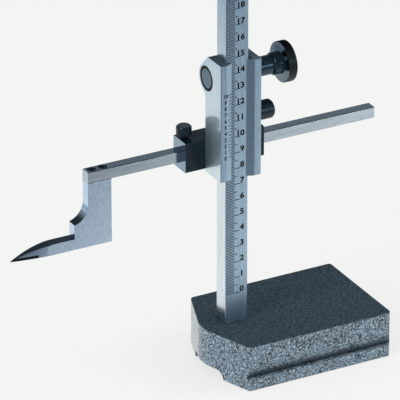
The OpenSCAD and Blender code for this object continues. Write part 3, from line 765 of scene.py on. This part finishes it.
def turned(outline, knurl):
    """A knurled solid turned round X from places along X and radii, which run from axis to axis."""
    shape = bmesh.new()
    points = [shape.verts.new((along, 0.0, out)) for along, out in outline]
    edges = [shape.edges.new(pair) for pair in zip(points, points[1:])]
    bmesh.ops.spin(shape, geom=points + edges, axis=(1, 0, 0), cent=(0, 0, 0), angle=2 * math.pi,
                   steps=knurl.steps, use_merge=True)
    knurl.press(shape)
    bmesh.ops.remove_doubles(shape, verts=shape.verts, dist=MERGE)
    bmesh.ops.recalc_face_normals(shape, faces=shape.faces)
    return shape


def turned_piece(node, shape, matrix, material):
    """Puts a solid that was turned round X in the place of a CAD node."""
    bmesh.ops.transform(shape, matrix=matrix, verts=shape.verts)
    smooth_over(shape, TURNED_CREASE)
    return stand_in(node, shape, material)


class GAUGE_OT_stage(bpy.types.Operator):
    """Makes the floor, the surroundings, the lamps and the camera"""

    bl_idname = "gauge.stage"
    bl_label = "Stage"

    def execute(self, context):
        stage = context.scene.gauge_stage
        self.floor(context.scene, stage)
        self.surroundings(context.scene, stage)
        self.lamps(context.scene, stage)
        self.camera(context.scene, stage)
        context.scene.view_settings.view_transform = "Standard"
        return {"FINISHED"}

    def floor(self, scene, stage):
        """Pale paper that looks even from the camera."""
        shape = bmesh.new()
        bmesh.ops.create_grid(shape, x_segments=1, y_segments=1, size=FLOOR_REACH)
        mesh = bpy.data.meshes.new("floor")
        shape.to_mesh(mesh)
        shape.free()
        floor = bpy.data.objects.new("floor", mesh)
        floor.location.z = -FLOOR_DROP
        scene.collection.objects.link(floor)
        paper = Finish("floor_paper", 0.0, 0.9)
        fibre = paper.mix(paper.noise(0.02), shade(stage.floor, 0.99), stage.floor)
        # Mirrored in the steel, the paper is grey before the gauge and bluer far behind it
        x, y, _ = paper.parts(paper.place)
        past_gauge = (y + NEAR_SLANT * x).step(*NEAR_STRETCH)
        far = (y - x).step(*FAR_STRETCH)
        mirror = paper.mix(past_gauge, stage.near_floor, paper.mix(far, stage.floor, stage.far_floor))
        seen = paper.light_path("Is Camera Ray")
        mirrored = paper.light_path("Is Glossy Ray")
        lit = paper.mix(seen, fibre, shade(stage.floor, FLOOR_LIT))
        glow = paper.mix(seen, BLACK, shade(stage.floor, FLOOR_GLOW))
        paper.put(paper.shader, Emission_Strength=1.0)
        mesh.materials.append(paper.done(Base_Color=paper.mix(mirrored, lit, BLACK),
                                         Emission_Color=paper.mix(mirrored, glow, mirror)))

    def surroundings(self, scene, stage):
        """An even light, in which the steel mirrors a dim studio with one window."""
        world = bpy.data.worlds.new("studio")
        scene.world = world
        studio = Tree(world)
        x, y, z = studio.parts(studio.node("ShaderNodeTexCoord")["Generated"])
        sky = studio.mix(z.step(0.36, 0.58), HAZE, CEILING)
        room = studio.mix(z.step(0.0, 0.08), stage.floor, sky)
        room = studio.mix(y.step(-0.7, 0.1), BEFORE_GAUGE, room)
        window = z.step(0.16, 0.2) * (1.0 - z.step(0.3, 0.34))
        window = window * x.step(0.25, 0.3) * (0.0 - y).step(0.72, 0.76)
        room = studio.mix(window, room, WINDOW)
        light = studio.mix(studio.light_path("Is Glossy Ray"), shade(stage.floor, ROOM_LIGHT), room)
        seen = studio.light_path("Is Camera Ray")
        studio.put(studio.nodes["Background"], Color=studio.mix(seen, light, stage.floor))

    def lamps(self, scene, stage):
        """Soft lamps at the left and the right."""
        for name, place, size, power in LAMPS:
            data = bpy.data.lights.new(name, "AREA")
            data.shape = "DISK"
            data.size = size
            data.energy = power * stage.light
            lamp = bpy.data.objects.new(name, data)
            lamp.location = place
            aim = LAMP_AIM - lamp.location
            lamp.rotation_euler = aim.to_track_quat("-Z", "Y").to_euler()
            scene.collection.objects.link(lamp)

    def camera(self, scene, stage):
        """Looks at a point beside and under the slider's scale, as the photo does."""
        level = math.cos(stage.elevation)
        back = Vector((math.sin(stage.azimuth) * level, -math.cos(stage.azimuth) * level,
                       math.sin(stage.elevation)))
        turn = (-back).to_track_quat("-Z", "Y")
        aim = SCALE_POINT - turn @ Vector((stage.aim_left, stage.aim_under, 0.0))
        data = bpy.data.cameras.new("camera")
        data.sensor_width = SENSOR_WIDTH
        data.lens = stage.lens
        data.clip_end = CLIP_END
        camera = bpy.data.objects.new("camera", data)
        camera.location = aim + back * stage.distance
        camera.rotation_mode = "QUATERNION"
        camera.rotation_quaternion = turn
        scene.collection.objects.link(camera)
        scene.camera = camera


class GAUGE_OT_base(bpy.types.Operator):
    """Rounds the corners of the base casting and paints it"""

    bl_idname = "gauge.base"
    bl_label = "Base"

    def round_corner(self, shape, wall, end, radius):
        """Rounds the upright corner of two walls, given by their normals, with flats round one axis."""
        to_wall, to_end = (max(v.co.dot(n) for v in shape.verts) - radius for n in (wall, end))
        lean = wall.dot(end)
        axis = ((to_wall - lean * to_end) * wall + (to_end - lean * to_wall) * end) / (1 - lean * lean)
        for top_shade_and_sheen in range(CORNER_CUTS):
            outward = wall.slerp(end, (top_shade_and_sheen + 0.5) / CORNER_CUTS)
            made = bmesh.ops.bisect_plane(shape, geom=[*shape.verts, *shape.edges, *shape.faces],
                                          plane_co=axis + radius * outward, plane_no=outward,
                                          clear_outer=True)
            opened = [e for e in made["geom_cut"] if isinstance(e, bmesh.types.BMEdge)]
            bmesh.ops.edgeloop_fill(shape, edges=opened)

    def round_corners(self, shape):
        """Rounds the two corners behind the nose and the two at the rear."""
        form = bpy.context.scene.gauge_form
        rear = Vector((1.0, 0.0, 0.0))
        for side in (-1, 1):
            wall = Vector((0.0, side, 0.0))
            nose = Vector((-math.cos(NOSE_SLOPE), side * math.sin(NOSE_SLOPE), 0.0))
            self.round_corner(shape, wall, nose, form.nose_round)
            self.round_corner(shape, wall, rear, form.rear_round)

    def execute(self, context):
        dressed("base", carve=self.round_corners)
        coated("column_screw")
        return {"FINISHED"}


class GAUGE_OT_column(bpy.types.Operator):
    """Finishes the column, its rack and its stop"""

    bl_idname = "gauge.column"
    bl_label = "Column"

    def execute(self, context):
        dressed("column")
        coated("rack", "rack_screws", "stop_screw")
        return {"FINISHED"}


class GAUGE_OT_column_scale(bpy.types.Operator):
    """Engraves the column's millimetre scale"""

    bl_idname = "gauge.column_scale"
    bl_label = "Column scale"

    def execute(self, context):
        scale = context.scene.gauge_scale
        shape = bmesh.new()
        face = COLUMN_LOW.y
        left = COLUMN_LOW.x + SCALE_MARGIN
        half = scale.line_width / 2
        last = math.floor((COLUMN_HIGH.z - SCALE_HEADROOM - scale.zero_height) / MM)
        for step in range(last + 1):
            length = scale.short_line
            if step % 5 == 0:
                length = scale.middle_line
            if step % 10 == 0:
                length = scale.long_line
            z = scale.zero_height + step * MM
            add_bar(shape, (left, face - scale.line_rise, z - half),
                    (COLUMN_LOW.x + length, face + scale.line_rise, z + half), Matrix.Identity(4))
            if step % 10 == 0 and step + 5 < last:
                place = (scale.number_end, face, z + NUMBER_LIFT)
                add_number(shape, step // 10, scale.number_height, NUMBER_STRETCH, "RIGHT", place)
        new_piece("column_scale", shape, "stand", "scale_ink")
        return {"FINISHED"}


class GAUGE_OT_slider(bpy.types.Operator):
    """Finishes the slider and its guide strip"""

    bl_idname = "gauge.slider"
    bl_label = "Slider"

    def execute(self, context):
        dressed("slider_body")
        coated("gib", "gib_spring", "gib_screws")
        return {"FINISHED"}


class GAUGE_OT_vernier(bpy.types.Operator):
    """Engraves the vernier on the slider's left jaw"""

    bl_idname = "gauge.vernier"
    bl_label = "Vernier"

    def execute(self, context):
        scale = context.scene.gauge_scale
        shape = bmesh.new()
        slope = BEVEL_RIDGE - BEVEL_EDGE
        tilt = math.atan2(slope.y, slope.x)
        bevel = Matrix.Translation(BEVEL_EDGE) @ Matrix.Rotation(tilt, 4, "Z")
        half = VERNIER_WIDTH * scale.line_width / 2
        for step in range(VERNIER_STEPS + 1):
            z = scale.zero_height + scale.reading + step * scale.vernier_span / VERNIER_STEPS
            numbered = step % 2 == 0
            length = VERNIER_LONG if numbered else VERNIER_SHORT
            add_bar(shape, (VERNIER_GAP, -scale.line_rise, z - half),
                    (length, scale.line_rise, z + half), bevel)
            if numbered:
                place = (VERNIER_NUMBERS, SLIDER_LOW.y, z - scale.vernier_number / 2)
                add_number(shape, step // 2, scale.vernier_number, VERNIER_STRETCH, "CENTER", place)
        new_piece("vernier_scale", shape, "slider", "scale_ink")
        return {"FINISHED"}


class GAUGE_OT_drive(bpy.types.Operator):
    """Finishes the pinion, its bearings and the knob"""

    bl_idname = "gauge.drive"
    bl_label = "Drive"

    def journal(self, form):
        """The pinion with a blackened chamfer round its journal's end."""
        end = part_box("pinion_shaft")[0].x
        piece = dressed("pinion_shaft")
        piece.data.materials.append(finish("bush_steel"))
        shape = bmesh.new()
        shape.from_mesh(piece.data)
        around = [e for e in shape.edges if all(v.co.x < end + ON_FACE for v in e.verts)]
        made = bmesh.ops.bevel(shape, geom=around, offset=form.journal_chamfer, segments=1, profile=0.5,
                               affect="EDGES", material=-1)
        for face in made["faces"]:
            face.material_index = 1
        shape.to_mesh(piece.data)
        shape.free()

    def knob(self, form):
        """The knurled knob with a dished end, and a hub in the sleeve's finish."""
        low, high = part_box("drive_knob")
        middle = (low + high) / 2
        end = high.x - low.x
        radius = (high.z - low.z) / 2
        back = end - RIM_LENGTH
        knurl = Knurl(radius, form.knurl_depth, back + KNURL_BACK, end - KNURL_FRONT, KNOB_ROWS, KNOB_STEPS)
        bore = [(end - BORE_WALL, 0.0), (end - BORE_WALL, BORE_RADIUS), (0.0, BORE_RADIUS)]
        hub = [(along, HUB_RADIUS - under) for along, under in HUB_END]
        fillet = [(back - HUB_FILLET_LENGTH, HUB_RADIUS), (back, HUB_RADIUS + HUB_FILLET_RISE)]
        rim = [(back, radius - RIM_BACK_DROP), *knurl.outline(), (end, radius - RIM_FRONT_DROP)]
        dish = [(end, DISH_RADIUS), (end - DISH_DEPTH, DISH_RADIUS - DISH_SLOPE), (end - DISH_DEPTH, 0.0)]
        shape = turned([*bore, *hub, *fillet, *rim, *dish], knurl)
        for face in shape.faces:
            on_hub = all(v.co.x < back and v.co.yz.length < HUB_RADIUS + ON_FACE for v in face.verts)
            face.material_index = int(on_hub)
        place = Matrix.Translation((low.x, middle.y, middle.z))
        piece = turned_piece("drive_knob", shape, place, "knob_steel")
        piece.data.materials.append(finish("sleeve_steel"))

    def execute(self, context):
        form = context.scene.gauge_form
        dressed("bearing_sleeve", material="sleeve_steel")
        dressed("pinion_bush", material="bush_steel")
        coated("friction_washer", "knob_screw")
        self.journal(form)
        self.knob(form)
        return {"FINISHED"}


class GAUGE_OT_clamps(bpy.types.Operator):
    """Finishes the slider lock, the arm clamp and their pads"""

    bl_idname = "gauge.clamps"
    bl_label = "Clamping screws"

    def screw(self, length, head, radius, depth, steps, end_round):
        """A knurled head on a threaded shank, built along X, with a rounded rim at its flat end."""
        low = length - head
        rows = max(FEWEST_ROWS, int(head / MM))
        knurl = Knurl(radius, depth, low + HEAD_CHAMFER, length - end_round, rows, steps)
        thread = [(0.0, 0.0), (0.0, THREAD_RADIUS - THREAD_POINT)]
        for ring in range(int((low - THREAD_END) / THREAD_PITCH)):
            thread.append(((ring + 0.5) * THREAD_PITCH, THREAD_RADIUS))
            thread.append(((ring + 1) * THREAD_PITCH, THREAD_RADIUS - THREAD_DEPTH))
        shoulder = [(low, THREAD_RADIUS - THREAD_NECK), (low, radius - HEAD_DROP)]
        foot = radius - depth
        end = [(length - back * end_round, foot - inwards * end_round) for back, inwards in HEAD_END]
        return turned([*thread, *shoulder, *knurl.outline(), *end, (length, 0.0)], knurl)

    def execute(self, context):
        form = context.scene.gauge_form
        low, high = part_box("lock_screw")
        middle = (low + high) / 2
        head = high.x - SLIDER_HIGH.x - form.lock_gap
        shape = self.screw(high.x - low.x, head, (high.z - low.z) / 2, form.knurl_depth, LOCK_STEPS,
                           form.lock_round)
        place = Matrix.Translation((low.x, middle.y, middle.z))
        turned_piece("lock_screw", shape, place, "black_steel")
        low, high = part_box("clamp_screw")
        middle = (low + high) / 2
        head = high.z - BRACKET_TOP - form.thumb_gap
        shape = self.screw(high.z - low.z, head, (high.x - low.x) / 2, form.knurl_depth, THUMB_STEPS,
                           form.thumb_round)
        place = Matrix.Translation((middle.x, middle.y, low.z)) @ UPWARD
        turned_piece("clamp_screw", shape, place, "thumb_steel")
        coated("lock_pad", "clamp_pad")
        return {"FINISHED"}


class GAUGE_OT_arm(bpy.types.Operator):
    """Finishes the bracket, the arm and the scriber"""

    bl_idname = "gauge.arm"
    bl_label = "Arm and scriber"

    def execute(self, context):
        dressed("arm_bracket")
        dressed("measuring_arm")
        dressed("scriber_body", material="scriber_steel")
        dressed("carbide_tip")
        coated("bracket_screws", "scriber_screws")
        return {"FINISHED"}


OPERATORS = (
    GAUGE_OT_stage,
    GAUGE_OT_base,
    GAUGE_OT_column,
    GAUGE_OT_column_scale,
    GAUGE_OT_slider,
    GAUGE_OT_vernier,
    GAUGE_OT_drive,
    GAUGE_OT_clamps,
    GAUGE_OT_arm,
)


class GAUGE_PT_panel(bpy.types.Panel):
    """Lists the steps and settings of the gauge"""

    bl_idname = "GAUGE_PT_panel"
    bl_label = "Height gauge"
    bl_space_type = "VIEW_3D"
    bl_region_type = "UI"
    bl_category = "Gauge"

    def draw(self, context):
        for operator in OPERATORS:
            self.layout.operator(operator.bl_idname)
        scene = context.scene
        for group in (scene.gauge_scale, scene.gauge_form, scene.gauge_finish, scene.gauge_stage):
            column = self.layout.column()
            for name in group.__annotations__:
                column.prop(group, name)


CLASSES = (ScaleSettings, FormSettings, FinishSettings, StageSettings, *OPERATORS, GAUGE_PT_panel)


def register():
    for cls in CLASSES:
        bpy.utils.register_class(cls)
    bpy.types.Scene.gauge_scale = PointerProperty(type=ScaleSettings)
    bpy.types.Scene.gauge_form = PointerProperty(type=FormSettings)
    bpy.types.Scene.gauge_finish = PointerProperty(type=FinishSettings)
    bpy.types.Scene.gauge_stage = PointerProperty(type=StageSettings)


def unregister():
    del bpy.types.Scene.gauge_stage
    del bpy.types.Scene.gauge_finish
    del bpy.types.Scene.gauge_form
    del bpy.types.Scene.gauge_scale
    for cls in reversed(CLASSES):
        bpy.utils.unregister_class(cls)


def main():
    register()
    bpy.ops.gauge.stage()
    bpy.ops.gauge.base()
    bpy.ops.gauge.column()
    bpy.ops.gauge.column_scale()
    bpy.ops.gauge.slider()
    bpy.ops.gauge.vernier()
    bpy.ops.gauge.drive()
    bpy.ops.gauge.clamps()
    bpy.ops.gauge.arm()


if __name__ == "__main__":
    main()
